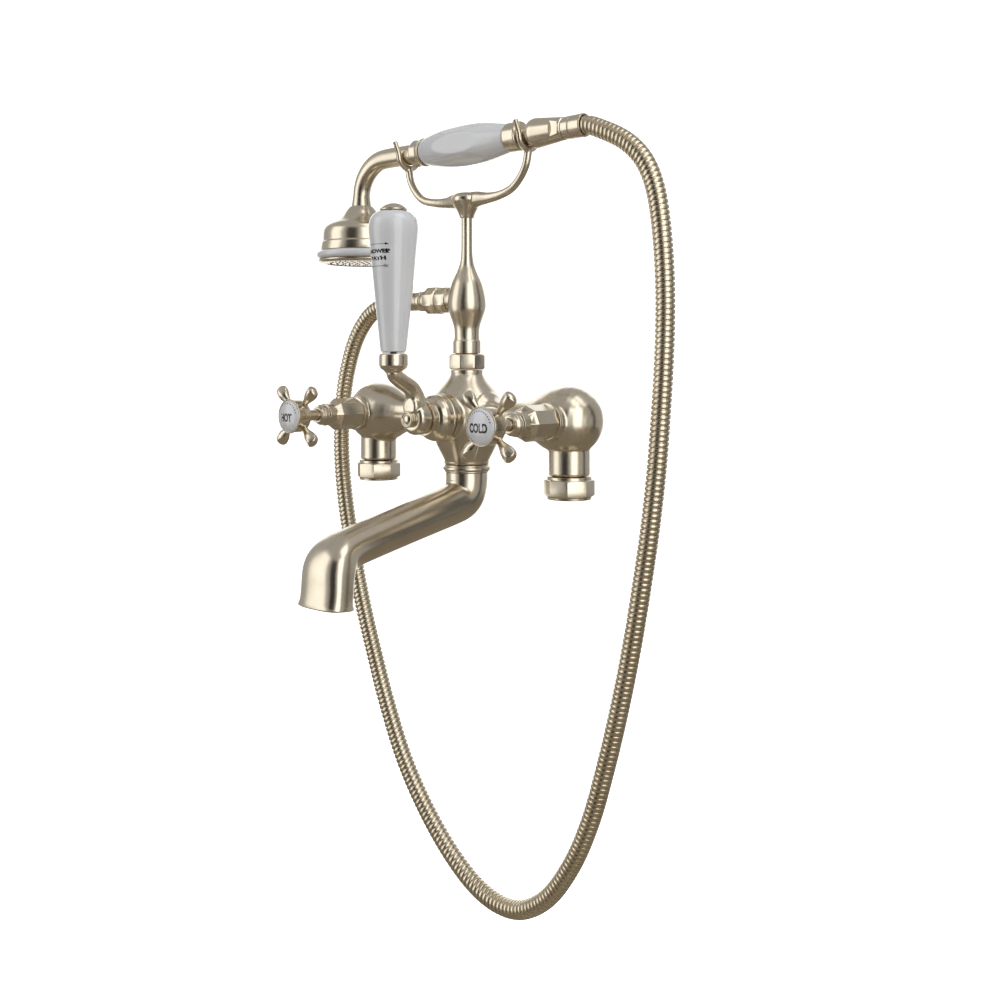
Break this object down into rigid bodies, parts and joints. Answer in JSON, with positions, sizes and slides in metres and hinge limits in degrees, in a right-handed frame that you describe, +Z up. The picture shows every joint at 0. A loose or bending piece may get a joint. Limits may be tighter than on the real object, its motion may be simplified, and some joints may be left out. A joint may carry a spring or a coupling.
{
  "type": "wall mounted bath faucet",
  "caption": "Traditional bath shower mixer with cross handles, porcelain diverter lever, fixed-arm spout and a hand shower on a cradle with a metal hose.",
  "frame": {"origin": "midway between the two supply unions, on the plane of their washers' sealing faces", "axes": "+X to the right along the wall seen from the front, +Y into the wall, +Z up"},
  "size_m": [0.3522, 0.1923, 0.6029],
  "materials": {
    "satin_nickel": "satin nickel plate over brass, warm champagne tone",
    "porcelain": "white glazed porcelain",
    "brass": "machined brass",
    "rubber": "black moulded rubber",
    "alumina": "lapped alumina ceramic",
    "stainless": "plain stainless steel",
    "acetal": "moulded white acetal"
  },
  "bodies": {
    "body": {"mixer_body": "satin_nickel", "hot_union_clip": "stainless", "cold_union_clip": "stainless", "hot_union_washer": "rubber", "cold_union_washer": "rubber", "hot_valve_seat_seal": "rubber", "cold_valve_seat_seal": "rubber", "hot_fixed_disc": "alumina", "cold_fixed_disc": "alumina", "hot_valve_bonnet": "satin_nickel", "cold_valve_bonnet": "satin_nickel", "diverter_fixed_disc": "alumina", "diverter_bonnet": "satin_nickel", "spout_collar": "satin_nickel", "riser_column": "satin_nickel", "column_lock_nut": "satin_nickel", "outlet_boss": "satin_nickel", "outlet_check_valve": "acetal", "hose_nut": "satin_nickel", "hose_tail_sleeve": "satin_nickel", "hose_outlet_washer": "rubber", "cradle": "satin_nickel", "hose": "satin_nickel"},
    "hot_handle": {"hot_cross_handle": "satin_nickel", "hot_moving_disc": "alumina", "hot_spindle": "brass", "hot_handle_screw": "stainless", "hot_index_plate": "porcelain", "hot_index_bezel": "satin_nickel"},
    "cold_handle": {"cold_cross_handle": "satin_nickel", "cold_moving_disc": "alumina", "cold_spindle": "brass", "cold_handle_screw": "stainless", "cold_index_plate": "porcelain", "cold_index_bezel": "satin_nickel"},
    "diverter_lever": {"lever_crank": "satin_nickel", "diverter_moving_disc": "alumina", "diverter_spindle": "brass", "lever_screw": "satin_nickel", "lever_cushion": "rubber", "porcelain_lever": "porcelain", "lever_tie_rod": "stainless", "lever_cap": "satin_nickel"},
    "swivel_spout": {"spout": "satin_nickel", "spout_circlip": "stainless", "spout_oring": "rubber"},
    "hot_nut": {"hot_union_nut": "satin_nickel"},
    "cold_nut": {"cold_union_nut": "satin_nickel"},
    "handset": {"handset_gooseneck": "satin_nickel", "head_bell": "satin_nickel", "porcelain_rose_ring": "porcelain", "spray_plate": "satin_nickel", "face_rim": "satin_nickel", "front_ferrule": "satin_nickel", "porcelain_grip": "porcelain", "handset_stem_tube": "brass", "rear_ferrule": "satin_nickel", "hose_cone_nut": "satin_nickel", "hose_ring_ferrule": "satin_nickel"}
  },
  "joints": [
    {"name": "hot_valve_turn", "type": "hinge", "parent": "body", "child": "hot_handle", "pos_m": [-0.1016, 0, 0.048], "axis": [0, -1, 0], "range_deg": [0, 90]},
    {"name": "cold_valve_turn", "type": "hinge", "parent": "body", "child": "cold_handle", "pos_m": [0.1016, 0, 0.048], "axis": [0, -1, 0], "range_deg": [-90, 0]},
    {"name": "diverter_swing", "type": "hinge", "parent": "body", "child": "diverter_lever", "pos_m": [0, 0, 0.048], "axis": [0, -1, 0], "range_deg": [-45, 45]},
    {"name": "spout_swivel", "type": "hinge", "parent": "body", "child": "swivel_spout", "pos_m": [0, 0, 0], "axis": [0, 0, 1], "range_deg": [-45, 45]},
    {"name": "hot_nut_turn", "type": "hinge", "parent": "body", "child": "hot_nut", "pos_m": [-0.1016, 0, 0], "axis": [0, 0, 1], "continuous": true},
    {"name": "cold_nut_turn", "type": "hinge", "parent": "body", "child": "cold_nut", "pos_m": [0.1016, 0, 0], "axis": [0, 0, 1], "continuous": true},
    {"name": "handset_lift", "type": "slide", "parent": "body", "child": "handset", "axis": [0, 0, 1], "range_m": [0, 0.06], "deforming": ["hose"]}
  ]
}
